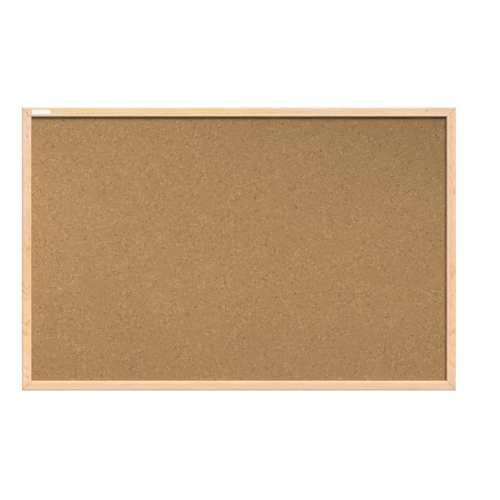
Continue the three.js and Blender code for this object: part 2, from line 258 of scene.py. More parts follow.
class Finish:
    """The nodes of a material or of the world, under construction."""

    def __init__(self, owner):
        owner.use_nodes = True
        self.owner = owner
        self.tree = owner.node_tree
        self.tree.nodes.clear()

    def node(self, kind, options=None, inputs=None, output=0):
        """Adds a node, sets its options, then its inputs, and gives one of its outputs."""
        made = self.tree.nodes.new(kind)
        for name, value in (options or {}).items():
            if name == "stops":
                self.set_stops(made.color_ramp, value)
            else:
                setattr(made, name, value)
        for name, value in (inputs or {}).items():
            if isinstance(value, Field):
                self.tree.links.new(value.socket, made.inputs[name])
            elif made.inputs[name].type == "RGBA":
                made.inputs[name].default_value = (*value[:3], 1)
            else:
                made.inputs[name].default_value = value
        return Field(self, made.outputs[output]) if made.outputs else made

    @staticmethod
    def set_stops(ramp, stops):
        while len(ramp.elements) < len(stops):
            ramp.elements.new(1)
        for element, (place, level) in zip(ramp.elements, stops):
            element.position = place
            element.color = (*level, 1)

    def place(self):
        """The surface's place in millimetres, and its X, Y and Z."""
        place = self.scaled(self.node("ShaderNodeTexCoord", output="Object"), 1 / MM)
        x = self.node("ShaderNodeSeparateXYZ", inputs={0: place})
        return place, x, x.output("Y"), x.output("Z")

    def scaled(self, vector, factor):
        return self.node("ShaderNodeVectorMath", {"operation": "SCALE"}, {0: vector, "Scale": factor})

    def join(self, x, y, z):
        return self.node("ShaderNodeCombineXYZ", inputs={0: x, 1: y, 2: z})

    def noise(self, vector, scale=1.0, detail=2.0, roughness=0.5, distortion=0.0, output=0):
        inputs = dict(Vector=vector, Scale=scale, Detail=detail, Roughness=roughness, Distortion=distortion)
        return self.node("ShaderNodeTexNoise", {}, inputs, output)

    def cells(self, vector, scale=1.0, feature="F1"):
        """How far off a cell's middle or edge is; the node's Color is drawn at random for each cell."""
        inputs = {"Vector": vector, "Scale": scale}
        return self.node("ShaderNodeTexVoronoi", {"feature": feature}, inputs, "Distance")

    def step(self, value, start, end, low=0.0, high=1.0):
        """A smooth rise from low at start to high at end."""
        inputs = {"Value": value, "From Min": start, "From Max": end, "To Min": low, "To Max": high}
        return self.node("ShaderNodeMapRange", {"interpolation_type": "SMOOTHSTEP"}, inputs)

    def between(self, value, start, full, fading, end):
        """A smooth rise from 0 to 1, and a smooth fall to 0."""
        return self.step(value, start, full) * self.step(value, end, fading)

    def ramp(self, value, stops):
        return self.node("ShaderNodeValToRGB", {"stops": stops}, {0: value})

    def level(self, value, stops):
        """A ramp of plain numbers."""
        greys = [(place, (grey, grey, grey)) for place, grey in stops]
        return self.node("ShaderNodeSeparateColor", inputs={0: self.ramp(value, greys)})

    def blend(self, factor, first, second, way="MIX"):
        """Two colours mixed."""
        options = {"data_type": "RGBA", "blend_type": way}
        return self.node("ShaderNodeMix", options, {0: factor, 6: first, 7: second}, 2)

    def multiply(self, first, second, factor=1.0):
        return self.blend(factor, first, second, "MULTIPLY")

    def shade(self, tint, value):
        """A colour made darker or lighter by a number."""
        grey = self.node("ShaderNodeCombineColor", inputs={0: value, 1: value, 2: value})
        return self.multiply(tint, grey)

    def bump(self, height, distance):
        """Relief from a height between 0 and 1, for a rise in metres."""
        return self.node("ShaderNodeBump", inputs={"Distance": distance, "Height": height})

    def surface(self, **inputs):
        """Ends the nodes in a surface, whose inputs have low lines for spaces, and gives the material."""
        names = (name.replace("_", " ").title().replace("Ior", "IOR") for name in inputs)
        body = self.node("ShaderNodeBsdfPrincipled", inputs=dict(zip(names, inputs.values())))
        self.node("ShaderNodeOutputMaterial", inputs={"Surface": body})
        return self.owner


def new_finish(name):
    return Finish(bpy.data.materials.new(name))


# Pine

# Each rail's log, in millimetres. Its pith lies in from the rail's outer edge and out from its back, and
# leans along the rail, with a ring at every gap. Contrast weighs the late wood, figure the wavy grain and
# line the painted highlight along the edge by the cork. Tints run from the left or lower end (0) to the
# other (1). A stripe is (from, to, tint), in from the outer edge, and a knot is (along, across, radius,
# darkness).
LOGS = {
    "top_rail": dict(
        seed=3.1, gap=1.5, pith=(34, -58), lean=(0.002, 0.006), contrast=0.8, figure=0.6, line=0.85,
        tints=(
            (0.0, (0.95, 1.0, 1.1)),
            (0.06, (0.95, 1.02, 0.97)),
            (0.6, (0.94, 1.0, 0.91)),
            (0.72, (0.92, 0.97, 1.1)),
            (1.0, (0.89, 0.94, 1.09)),
        ),
        stripe=(2.5, 9.0, (1.0, 1.01, 0.95)),
        knots=((389, 8, 1.3, 0.6),),
    ),
    "bottom_rail": dict(
        seed=11.7, gap=1.6, pith=(-22, -46), lean=(0.003, -0.008), contrast=0.6, figure=0.3, line=0.5,
        tints=((0.0, (0.965, 0.96, 1.01)), (1.0, (0.945, 0.94, 1.0))),
        stripe=(5.0, 13.0, (0.99, 0.985, 1.01)),
        knots=(),
    ),
    "left_rail": dict(
        seed=7.3, gap=1.3, pith=(13, -24), lean=(0.004, 0.085), contrast=0.8, figure=1.2, line=0.0,
        tints=(
            (0.0, (1.05, 0.99, 1.03)),
            (0.1, (1.02, 0.95, 0.9)),
            (0.22, (1.02, 0.95, 0.9)),
            (0.34, (0.96, 0.895, 0.82)),
            (0.62, (0.94, 0.92, 0.89)),
            (0.85, (0.99, 0.985, 0.97)),
            (1.0, (0.99, 0.99, 1.1)),
        ),
        # The left rail's stripe is painted shade, darkening its outer edge
        stripe=(-2.0, 6.0, (0.95, 0.955, 0.97)),
        knots=(
            (233, 12, 1.0, 0.8),
            (168.5, 12, 0.7, 0.45),
            (95, 15.5, 0.6, 0.4),
            (24, 17, 0.8, 0.4),
            (-172, 3, 0.8, 0.5),
        ),
    ),
    "right_rail": dict(
        seed=19.9, gap=1.4, pith=(6, -32), lean=(-0.003, 0.05), contrast=0.7, figure=0.8, line=0.4,
        tints=((0.0, (0.96, 0.94, 0.98)), (1.0, (0.955, 0.94, 1.03))),
        stripe=(8.0, 15.0, (0.94, 0.955, 0.88)),
        knots=(
            (251, 12, 1.6, 0.22),
            (215, 12.5, 2.0, 0.16),
            (168, 12, 1.8, 0.25),
            (148, 12, 1.8, 0.2),
            (124, 13, 1.5, 0.18),
            (-96, 8, 1.1, 0.7),
        ),
    ),
}

# Bands along every rail, in millimetres from its outer edge: where one starts, is full, fades and ends
# A painted highlight along the edge next to the cork
PAINTED_HIGHLIGHT_BAND = (14.6, 16.0, 16.8, 18.0)
# A thin line of painted shade, as of a groove that the moulding doesn't have
PAINTED_GROOVE_SHADE = (12.0, 13.6, 14.4, 15.2)


def rail_place(finish, rail):
    """Millimetres along the rail, in from its outer edge and out from its back, and half its length."""
    _, x, y, z = finish.place()
    half_width, half_height = BOARD_WIDTH / 2 / MM, BOARD_HEIGHT / 2 / MM
    if rail in ("top_rail", "bottom_rail"):
        along, reach, beside, edge = x, half_width, z, half_height
    else:
        along, reach, beside, edge = z, half_height, x, half_width
    across = edge - beside if rail in ("top_rail", "right_rail") else beside + edge
    return along, across, 0 - y, reach


def pine(rail):
    """Pine for one rail, with the growth rings of a log whose pith runs beside the rail."""
    choice = settings("moulding")
    log = LOGS[rail]
    finish = new_finish(f"{rail}_pine")
    along, across, depth, reach = rail_place(finish, rail)
    seed = log["seed"]

    def stretched(lengthwise, crosswise, start):
        """A place in a pattern drawn out along the rail, with so many repeats per millimetre."""
        return finish.join(along * lengthwise, across * crosswise, depth * crosswise + start)

    sway = finish.noise(finish.join(along * 0.004, seed, 0.0), detail=1.0) - 0.5
    ripple = finish.noise(stretched(0.045, 0.12, seed), detail=3.0) - 0.5
    beside = across - along * log["lean"][0] + (sway * 14 + ripple * 3.2 - log["pith"][0])
    behind = depth - along * log["lean"][1] + (sway * 8 + ripple * 2.4 - log["pith"][1])
    rings = (beside * beside + behind * behind).root() / log["gap"]
    year = rings.floor()
    vigour = finish.node("ShaderNodeTexWhiteNoise", {"noise_dimensions": "1D"}, {"W": year + seed})
    late = finish.level(rings - year, ((0, 0.0), (0.5, 0.12), (0.8, 0.7), (0.92, 1), (1, 0.0)))
    fading = finish.noise(finish.join(along * 0.012 - seed, across * 0.06, depth * 0.06))
    late = late * (vigour * 0.85 + 0.15) * finish.step(fading, 0.36, 0.62, 0.25)

    fibre = finish.noise(stretched(0.045, 2.6, seed), detail=3.0, roughness=0.65)
    hair = finish.noise(stretched(0.3, 9.0, seed), detail=3.0, roughness=0.7)
    cloud = finish.noise(stretched(0.012, 0.13, -seed))
    band = finish.noise(stretched(0.0025, 0.32, seed), detail=1.0)
    hue = finish.noise(finish.join(along * 0.004 + seed, across * 0.22, depth * 0.22), detail=1.0)
    ducts = finish.cells(stretched(0.11, 1.05, seed))
    duct = finish.step(ducts, 0.2, 0.08) * finish.step(ducts.output("Color"), 0.72, 0.8)
    figure = finish.noise(stretched(0.09, 0.32, -seed), detail=3.0, distortion=0.8)
    figure = finish.step(figure, 0.52, 0.68) - finish.step(figure, 0.46, 0.32)

    wood = finish.blend(late * log["contrast"], choice.early_wood, choice.late_wood)
    length_share = finish.step(along + sway * 60, -reach, reach)
    tint = log["tints"][0][1]
    for (start, _), (stop, next_tint) in zip(log["tints"], log["tints"][1:]):
        tint = finish.blend(finish.step(length_share, start, stop), tint, next_tint)
    wood = finish.multiply(wood, tint)
    first, last, stripe_tint = log["stripe"]
    stripe = finish.between(across, first - 1, first + 1, last - 1, last + 1)
    wood = finish.multiply(wood, stripe_tint, stripe)
    wood = finish.multiply(wood, finish.blend(finish.step(hue, 0.35, 0.65), choice.straw, choice.blush))
    light = (fibre - 0.5) * 0.22 + (hair - 0.5) * 0.2 + (cloud - 0.5) * 0.12 + (band - 0.5) * 0.16
    wood = finish.shade(wood, light + figure * (0.06 * log["figure"]) + 1)
    wood = finish.multiply(wood, choice.late_wood, duct * 0.55)
    for place, side, radius, darkness in log["knots"]:
        off_along, off_across = (along - place) * 0.7, across - side
        distance = (off_along * off_along + off_across * off_across).root() + ripple * 0.8
        halo = finish.step(distance, radius * 3.4, radius) * (0.5 * darkness)
        heart = finish.step(distance, radius, radius * 0.5) * darkness
        wood = finish.blend(halo, wood, choice.late_wood)
        wood = finish.blend(heart, wood, choice.knot_wood)

    # Painted highlight along the edge next to the cork, weighed for each rail by its line
    wood = finish.blend(finish.between(across, *PAINTED_HIGHLIGHT_BAND) * log["line"], wood, choice.painted_inner_highlight)
    # Painted shade: a band over the outer arris and the front of the outer side
    outer_arris = finish.step(across + (RAIL_DEPTH / MM - depth), 3.4, 0.8)
    # Painted shade on both: the groove band's faint dark line and the outer arris a tenth darker
    wood = finish.shade(wood, 1 - finish.between(across, *PAINTED_GROOVE_SHADE) * 0.035 - outer_arris * 0.1)
    joint = (reach - abs(along) - across) * math.sqrt(0.5)
    wood = finish.shade(wood, finish.step(abs(joint), 0.25, 1.0, low=0.72))

    height = late * 0.25 + fibre * 0.4 + hair * 0.4 - duct * 0.5
    return finish.surface(
        base_color=wood,
        roughness=finish.step(late - fibre * 0.4, -0.2, 0.8, 0.62, 0.5),
        normal=finish.bump(height, 0.00006),
        specular_ior_level=0.35,
    )


# Cork, softboard, label and steel


def pressed_cork():
    """Granules of several sizes pressed together, with a few pale and bark-brown flecks."""
    choice = settings("cork")
    finish = new_finish("pressed_cork")
    even, x, _, z = finish.place()
    jolt = finish.noise(even, scale=0.7, detail=5.0, roughness=0.62, output=1)
    jolt = finish.scaled(jolt, 1.7)
    place = finish.node("ShaderNodeVectorMath", {"operation": "ADD"}, {0: even, 1: jolt})

    usual = MM / choice.granule
    gaps = finish.cells(place, usual, "DISTANCE_TO_EDGE")
    granule_luck, crumb_luck, lump_luck = (
        finish.node("ShaderNodeSeparateColor", inputs={0: finish.cells(place, scale).output("Color")})
        for scale in (usual, usual * 1.9, usual * 0.5)
    )
    is_lump = finish.step(lump_luck.output("Green"), 0.7, 0.76)
    luck = granule_luck * 0.62 + crumb_luck * 0.38
    luck = luck + (lump_luck * 0.7 + crumb_luck * 0.3 - luck) * is_lump
    pores = finish.noise(even, scale=0.8)
    seam = finish.step(gaps, 0.12, 0.02) * finish.step(pores, 0.42, 0.62) * (1 - is_lump * 0.8)

    zone = finish.noise(even, scale=0.045, detail=1.0)
    dust = finish.noise(even, scale=3.6, detail=3.0, roughness=0.6) - 0.5
    spread = (luck - 0.5) * finish.step(zone, 0.32, 0.68, 0.5, 1.42) + 0.5
    levels = ((0.0, 0.66), (0.25, 0.86), (0.5, 1.0), (0.75, 1.12))
    shades = [(start, [part * level for part in choice.body]) for start, level in levels]
    tint = finish.ramp(spread + dust * 0.22, [*shades, (1.0, choice.pale)])
    crowd = finish.step(finish.noise(even, scale=0.06), 0.36, 0.6, 0.2)
    bark = finish.step(granule_luck.output("Green"), crowd * 0.05, crowd * 0.042)
    bark = bark.most(finish.step(lump_luck.output("Blue"), crowd * 0.018, crowd * 0.014))
    speck = finish.step(finish.noise(even, scale=1.5, distortion=0.6), 0.64, 0.69)
    pale = finish.step(granule_luck.output("Blue"), 1 - crowd * 0.09, 1 - crowd * 0.08)
    pale = pale.most(finish.step(lump_luck.output("Red"), 0.95, 0.96))
    tint = finish.blend(pale * 0.6, tint, choice.pale)
    tint = finish.blend((bark * (0.58 - dust * 0.5)).most(speck * 0.7), tint, choice.bark)

    # Painted light falloff: paler to the left, darker to the right, most at the top right, and darker
    # towards the top and bottom
    right, up = x * MM, z * MM
    painted_light_falloff = 0.96 - right * 0.19 - right * up * 0.55 - up * up * 1.38 - up * 0.06
    mottle = finish.noise(even, scale=0.035) - 0.5
    patch = finish.noise(even, scale=0.006, detail=1.0) - 0.5
    tint = finish.shade(tint, (mottle * 0.05 + patch * 0.1 - seam * 0.22 + 1) * painted_light_falloff)
    height = luck * 0.45 + dust * 0.3 - seam * 0.5
    return finish.surface(
        base_color=tint,
        roughness=finish.step(luck, 0.0, 1.0, 0.92, 0.82),
        normal=finish.bump(height, 0.00015),
        specular_ior_level=0.12,
    )


def softboard():
    """Felted wood fibre with the print of the drying screen on its back."""
    choice = settings("core")
    finish = new_finish("softboard")
    place, x, y, z = finish.place()
    felt = finish.noise(place, scale=0.3, detail=3.0, distortion=1.5)
    hair = finish.noise(place, scale=2.4, detail=4.0, roughness=0.7, distortion=2.5)
    cloud = finish.noise(place, scale=0.02, detail=3.0)
    strands = 0
    for spread, turned in ((0.16, 0.0), (0.23, 31.0), (0.34, 57.0)):
        winding = finish.noise(finish.join(x + turned, y, z - turned), scale=spread, distortion=3.0)
        broken = finish.noise(finish.join(x - turned, y, z), scale=spread * 2.2, detail=1.0)
        strands = finish.step(abs(winding - 0.5), 0.02, 0.004) * finish.step(broken, 0.5, 0.6) + strands
    fleck_cells = finish.cells(finish.join(x * 0.35 + felt * 2, z * 0.9 + felt * 2, y))
    fleck = finish.step(fleck_cells, 0.22, 0.1) * finish.step(fleck_cells.output("Color"), 0.6, 0.68)
    pitch = math.pi * MM / choice.screen
    weave_x, weave_z = abs((x * pitch).sine()), abs((z * pitch).sine())
    worn = finish.step(cloud, 0.35, 0.65, 0.25)
    screen = finish.step(weave_x.least(weave_z) + (felt - 0.5) * 0.9, 0.0, 0.65) * worn
    tint = finish.blend(finish.step(hair, 0.35, 0.68), choice.dark_fibre, choice.fibre)
    tint = finish.blend(strands.least(1.0) * 0.45, tint, choice.pale_fibre)
    tint = finish.blend(fleck * 0.4, tint, choice.dark_fibre)
    tint = finish.shade(tint, (cloud - 0.5) * 0.2 + (felt - 0.5) * 0.16 + screen * 0.025 + 0.99)
    return finish.surface(
        base_color=tint,
        roughness=0.93,
        normal=finish.bump(hair * 0.4 + screen * 0.28 + strands * 0.25, 0.00018),
        specular_ior_level=0.2,
    )


def label_film():
    """White coated paper, faintly dimpled by the wood under it."""
    choice = settings("label")
    finish = new_finish("label_film")
    place, x, y, z = finish.place()
    dimple = finish.noise(finish.join(x * 0.25, y, z * 1.2))
    grain = finish.noise(place, scale=6.0)
    cloud = finish.noise(place, scale=0.12, detail=1.0)
    return finish.surface(
        base_color=finish.shade(choice.film, (cloud - 0.5) * 0.03 + (grain - 0.5) * 0.02 + 1),
        roughness=finish.step(grain, 0.3, 0.7, 0.38, 0.46),
        normal=finish.bump(dimple * 0.8 + grain * 0.2, 0.00003),
    )


def zinc_plate():
    """Satin zinc over rolled steel, a little cloudy and finely scratched."""
    choice = settings("fittings")
    finish = new_finish("zinc_plate")
    place, x, y, z = finish.place()
    cloud = finish.noise(place, scale=0.5, detail=3.0)
    rolled = finish.noise(finish.join(x * 9, y * 2, z * 0.5), detail=3.0, roughness=0.7)
    scratch = finish.noise(finish.join(x * 3, y * 3, z * 0.35), detail=4.0, distortion=1.2)
    scratch = finish.step(scratch, 0.62, 0.68)
    dull = [part * 0.86 for part in choice.zinc]
    tint = finish.blend(finish.step(cloud, 0.3, 0.7), dull, choice.zinc)
    return finish.surface(
        base_color=finish.shade(tint, (rolled - 0.5) * 0.08 - scratch * 0.08 + 1),
        metallic=1.0,
        roughness=finish.step(cloud + scratch * 0.3, 0.3, 0.8, 0.56, 0.7),
        normal=finish.bump(rolled * 0.6 - scratch * 0.4, 0.00002),
    )


def nail_steel():
    """Bare rolled steel, greyer than the plate, with a trace of oil and rust."""
    choice = settings("fittings")
    finish = new_finish("nail_steel")
    place, x, y, z = finish.place()
    cloud = finish.noise(place, scale=0.7, detail=3.0)
    rust = finish.step(finish.noise(place, scale=1.6, detail=4.0, roughness=0.65), 0.6, 0.72)
    rolled = finish.noise(finish.join(x * 6, y * 6, z * 1.2), detail=3.0)
    dull = [part * 0.78 for part in choice.steel]
    tint = finish.blend(finish.step(cloud, 0.3, 0.7), dull, choice.steel)
    tint = finish.blend(rust * 0.5, tint, choice.rust)
    return finish.surface(
        base_color=tint,
        metallic=1 - rust * 0.5,
        roughness=finish.step(cloud + rust * 0.3, 0.3, 0.9, 0.54, 0.72),
        normal=finish.bump(rolled * 0.7 + rust * 0.3, 0.00002),
    )


# Mesh work


def points(parts):
    return [part for part in parts if isinstance(part, bmesh.types.BMVert)]


def lines(parts):
    return [part for part in parts if isinstance(part, bmesh.types.BMEdge)]


def face_outwards(bm):
    bmesh.ops.recalc_face_normals(bm, faces=bm.faces)


def round_off(bm, edges, width, facets=2):
    bmesh.ops.bevel(bm, geom=edges, offset=width, affect="EDGES", segments=facets, profile=0.5, material=-1)


def shift(bm, parts, vector):
    """Moves the points among the parts."""
    bmesh.ops.translate(bm, verts=points(parts), vec=vector)


def sharp_edges(bm, degrees):
    return [edge for edge in bm.edges if edge.calc_face_angle(0) > math.radians(degrees)]


def new_piece(name, bm, material=None, sharp=30):
    """An object with its place in its mesh, smooth but for its sharp edges."""
    mesh = bpy.data.meshes.new(name)
    for face in bm.faces:
        face.smooth = True
    bm.to_mesh(mesh)
    bm.free()
    mesh.set_sharp_from_angle(angle=math.radians(sharp))
    piece = bpy.data.objects.new(name, mesh)
    bpy.context.scene.collection.objects.link(piece)
    if material:
        mesh.materials.append(material)
    return piece


def merged_copy(node):
    """The node's own solid with its doubled points joined and its flat faces whole."""
    bm = bmesh.new()
    bm.from_mesh(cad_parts[node].data)
    bmesh.ops.remove_doubles(bm, verts=bm.verts, dist=NEAR)
    bmesh.ops.dissolve_limit(bm, angle_limit=math.radians(0.5), verts=bm.verts, edges=bm.edges)
    return bm


def carve(piece, tool):
    """Cuts the tool's solid out of the piece, then drops the tool."""
    cutter = new_piece("carving_tool", tool)
    modifier = piece.modifiers.new("carve", "BOOLEAN")
    modifier.operation = "DIFFERENCE"
    modifier.solver = "EXACT"
    modifier.object = cutter
    shaped = piece.evaluated_get(bpy.context.evaluated_depsgraph_get())
    mesh = bpy.data.meshes.new_from_object(shaped)
    piece.modifiers.clear()
    piece.data = mesh
    bpy.data.objects.remove(cutter)


def even_normals(piece, sharp=30):
    """Lets the large flat faces keep their own shading beside rounded edges."""
    piece.data.set_sharp_from_angle(angle=math.radians(sharp))
    modifier = piece.modifiers.new("even_normals", "WEIGHTED_NORMAL")
    modifier.keep_sharp = True
    modifier.weight = 100


def finish_piece(piece, body, slot, *nodes):
    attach(piece, body)
    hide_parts(*nodes)


# Rails


def moulding_blank(length_of_rail, choice):
    """A straight moulding: X in from its outer edge, Y from its front to the back plane, Z along it."""
    land = CORE_LOW.x - OUTER_LOW.x - choice.panel_clearance
    front, lip = -RAIL_DEPTH, CORK_LOW.y
    section = ((0, 0), (land, 0), (land, lip), (RAIL_FACE, lip), (RAIL_FACE, front), (0, front))
    bm = bmesh.new()
    outline = bm.faces.new([bm.verts.new((x, y, -length_of_rail / 2)) for x, y in section])
    drawn = bmesh.ops.extrude_face_region(bm, geom=[outline])
    shift(bm, drawn["geom"], (0, 0, length_of_rail))
    face_outwards(bm)
    for corner, radius in (
        ((0, front), choice.outer_arris),
        ((RAIL_FACE, front), choice.inner_arris),
        ((0, 0), choice.back_arris),
        ((land, 0), choice.mitre_ease),
    ):
        arris = [e for e in bm.edges if all((v.co.xy - Vector(corner)).length < NEAR for v in e.verts)]
        round_off(bm, arris, radius, FACETS["arris"])
    lengthwise = [e for e in bm.edges if abs(e.verts[0].co.z - e.verts[1].co.z) > length_of_rail / 2]
    cuts = round(length_of_rail / MOULDING_CELL)
    bmesh.ops.subdivide_edges(bm, edges=lengthwise, cuts=cuts, use_grid_fill=True)
    return bm


def cut_mitres(bm, length_of_rail, choice):
    """Saws both ends at 45 degrees, closes them and takes the sharpness off their front edges."""
    for end in (1, -1):
        tip = end * (length_of_rail - MITRE_GAP) / 2
        whole = [*bm.verts, *bm.edges, *bm.faces]
        sawn = bmesh.ops.bisect_plane(
            bm, geom=whole, plane_co=(0, 0, tip), plane_no=(1, 0, end), clear_outer=True
        )
        rim = lines(sawn["geom_cut"])
        bmesh.ops.contextual_create(bm, geom=rim)
        face_outwards(bm)
        eased = [e for e in rim if e.is_valid and all(v.co.y < CORK_LOW.y - NEAR for v in e.verts)]
        round_off(bm, eased, choice.mitre_ease)


def grown_solid(nodes, growth):
    """The nodes' solids, each made larger all round, in one mesh."""
    bm = bmesh.new()
    for node in nodes:
        one = merged_copy(node)
        one.normal_update()
        moves = [(vert, vert.normal * vert.calc_shell_factor() * growth) for vert in one.verts]
        for vert, move in moves:
            vert.co += move
        grown = bpy.data.meshes.new("grown")
        one.to_mesh(grown)
        one.free()
        bm.from_mesh(grown)
        bpy.data.meshes.remove(grown)
    return bm


def driven_into(rail):
    """The nails, points and screws that stand in a rail."""
    side = rail.split("_")[0]
    starts = (f"panel_point_{side}", f"{side}_hanger_screw")
    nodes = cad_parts
    return [node for node in nodes if node.startswith(starts) or ("v_nail" in node and side in node)]


def make_rail(rail):
    """One rail, sawn to its mitres and set in its place, with slots for what is driven into it."""
    choice = settings("moulding")
    places = {
        "top_rail": (BOARD_WIDTH, (0, 0, BOARD_HEIGHT / 2), QUARTER_TURN),
        "bottom_rail": (BOARD_WIDTH, (0, 0, -BOARD_HEIGHT / 2), -QUARTER_TURN),
        "left_rail": (BOARD_HEIGHT, (-BOARD_WIDTH / 2, 0, 0), 0),
        "right_rail": (BOARD_HEIGHT, (BOARD_WIDTH / 2, 0, 0), 2 * QUARTER_TURN),
    }
    length_of_rail, middle, turned = places[rail]
    bm = moulding_blank(length_of_rail, choice)
    cut_mitres(bm, length_of_rail, choice)
    stand = Matrix.Translation(middle) @ Matrix.Rotation(turned, 4, "Y")
    bmesh.ops.transform(bm, matrix=stand, verts=bm.verts)
    face_outwards(bm)
    piece = new_piece(f"{rail}_moulding", bm, pine(rail))
    carve(piece, grown_solid(driven_into(rail), choice.slot_clearance))
    even_normals(piece)
    finish_piece(piece, BOARD, "rail_wood", rail)


class MESH_OT_board_rails(bpy.types.Operator):
    """Makes the four mitred pine rails"""

    bl_idname = "mesh.board_rails"
    bl_label = "Rails"

    def execute(self, context):
        for rail in LOGS:
            make_rail(rail)
        return {"FINISHED"}


# Cork and softboard


def relief_sheet(low, high, visible, cell, relief, seed):
    """A sheet whose visible face rises and falls a little, closed by its edges and a flat far side."""
    width, height = high.x - low.x, high.z - low.z
    near, far = (low.y, high.y) if visible == "front" else (high.y, low.y)
    bm = bmesh.new()
    bmesh.ops.create_grid(bm, x_segments=round(width / cell), y_segments=round(height / cell), size=0.5)
    upright = Matrix.Rotation(QUARTER_TURN, 4, "X") @ Matrix.Diagonal((width, height, 1, 1))
    bmesh.ops.transform(bm, matrix=Matrix.Translation((0, near, 0)) @ upright, verts=bm.verts)
    inwards = math.copysign(1, far - near)
    for vert in bm.verts:
        x, _, z = vert.co
        broad, fine = (noise.noise(Vector((x * rate, seed, z * rate))) for rate in RELIEF_WAVES)
        vert.co.y += inwards * relief * (0.5 + 0.3 * broad + 0.2 * fine)
    rim = [edge for edge in bm.edges if edge.is_boundary]
    back = set(points(bmesh.ops.extrude_edge_only(bm, edges=rim)["geom"]))
    for vert in back:
        vert.co.y = far
    bmesh.ops.contextual_create(bm, geom=[edge for edge in bm.edges if back.issuperset(edge.verts)])
    face_outwards(bm)
    return bm


class MESH_OT_board_cork(bpy.types.Operator):
    """Makes the pressed cork sheet"""

    bl_idname = "mesh.board_cork"
    bl_label = "Cork sheet"

    def execute(self, context):
        choice = settings("cork")
        bm = relief_sheet(CORK_LOW, CORK_HIGH, "front", choice.cell, choice.relief, seed=2.0)
        piece = new_piece("cork_face", bm, pressed_cork(), sharp=45)
        finish_piece(piece, BOARD, "cork", "cork_sheet")
        return {"FINISHED"}


class MESH_OT_board_core(bpy.types.Operator):
    """Makes the softboard behind the cork"""

    bl_idname = "mesh.board_core"
    bl_label = "Softboard core"

    def execute(self, context):
        choice = settings("core")
        bm = relief_sheet(CORE_LOW, CORE_HIGH, "back", settings("cork").cell, choice.relief, seed=5.0)
        piece = new_piece("softboard_core", bm, softboard(), sharp=45)
        finish_piece(piece, BOARD, "softboard", "core_board")
        return {"FINISHED"}


class MESH_OT_board_label(bpy.types.Operator):
    """Makes the blank label on the top rail"""

    bl_idname = "mesh.board_label"
    bl_label = "Blank label"

    def execute(self, context):
        low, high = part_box("blank_label")
        thickness = high.y - low.y
        bm = bmesh.new()
        bmesh.ops.create_cube(bm, size=1)
        bmesh.ops.scale(bm, vec=high - low, verts=bm.verts)
        shift(bm, bm.verts, (low + high) / 2)
        corners = [e for e in bm.edges if abs(e.verts[0].co.y - e.verts[1].co.y) > thickness / 2]
        round_off(bm, corners, settings("label").corner, FACETS["label_corner"])
        rim = [e for e in sharp_edges(bm, 60) if all(v.co.y < low.y + thickness / 2 for v in e.verts)]
        round_off(bm, rim, thickness * LABEL_EASE)
        piece = new_piece("label_film", bm, label_film())
        even_normals(piece)
        finish_piece(piece, BOARD, "label_paper", "blank_label")
        return {"FINISHED"}


# Fittings


class MESH_OT_board_nails(bpy.types.Operator):
    """Makes the V-nails in the mitres and the points that hold the panel"""

    bl_idname = "mesh.board_nails"
    bl_label = "Nails and points"

    def execute(self, context):
        steel = nail_steel()
        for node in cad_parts:
            if node.startswith(("v_nail", "panel_point")):
                bm = merged_copy(node)
                round_off(bm, sharp_edges(bm, 40), settings("fittings").nail_ease)
                piece = new_piece(f"{node}_steel", bm, steel)
                even_normals(piece)
                finish_piece(piece, BOARD, "nail_steel", node)
        return {"FINISHED"}


def draw_along(bm, ends, runs):
    """Draws edges along runs, each a straight (vector) or a bend (centre, axis, angle, facets)."""
    for run in runs:
        if len(run) == 1:
            drawn = bmesh.ops.extrude_edge_only(bm, edges=ends)["geom"]
            shift(bm, drawn, run[0])
            fresh = set(points(drawn))
            ends = [edge for edge in lines(drawn) if fresh.issuperset(edge.verts)]
        else:
            centre, axis, angle, facets = run
            bend = bmesh.ops.spin(bm, geom=ends, cent=centre, axis=axis, angle=angle, steps=facets)
            ends = lines(bend["geom_last"])


def make_ring(node, choice, material):
    """A D of round wire, hanging a little off the rail as it rests on the strap."""
    low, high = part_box(node)
    wire, bend = choice.wire / 2, choice.wire_bend
    bar = Vector(((low.x + high.x) / 2, low.y + wire, high.z - wire))
    half = (high.x - low.x) / 2 - wire
    lift, drop = high.y - wire - bar.y, bar.z - low.z - wire
    reach = math.hypot(lift, drop)
    side = reach - half - bend
    axis = (0, 1, 0)

    bm = bmesh.new()
    start = Matrix.Translation((bend - half, 0, 0)) @ Matrix.Rotation(QUARTER_TURN, 4, "Y")
    bmesh.ops.create_circle(bm, segments=choice.sides, radius=wire, matrix=start)
    runs = (
        ((2 * (half - bend), 0, 0),),
        ((half - bend, 0, -bend), axis, QUARTER_TURN, FACETS["wire_bend"]),
        ((0, 0, -side),),
        ((0, 0, half - reach), axis, 2 * QUARTER_TURN, FACETS["wire_loop"]),
        ((0, 0, side),),
        ((bend - half, 0, -bend), axis, QUARTER_TURN, FACETS["wire_bend"]),
    )
    draw_along(bm, list(bm.edges), runs)
    bmesh.ops.remove_doubles(bm, verts=bm.verts, dist=NEAR)
    hung = Matrix.Translation(bar) @ Matrix.Rotation(math.atan2(lift, drop), 4, "X")
    bmesh.ops.transform(bm, matrix=hung, verts=bm.verts)
    face_outwards(bm)
    return new_piece(f"{node}_wire", bm, material, sharp=50)


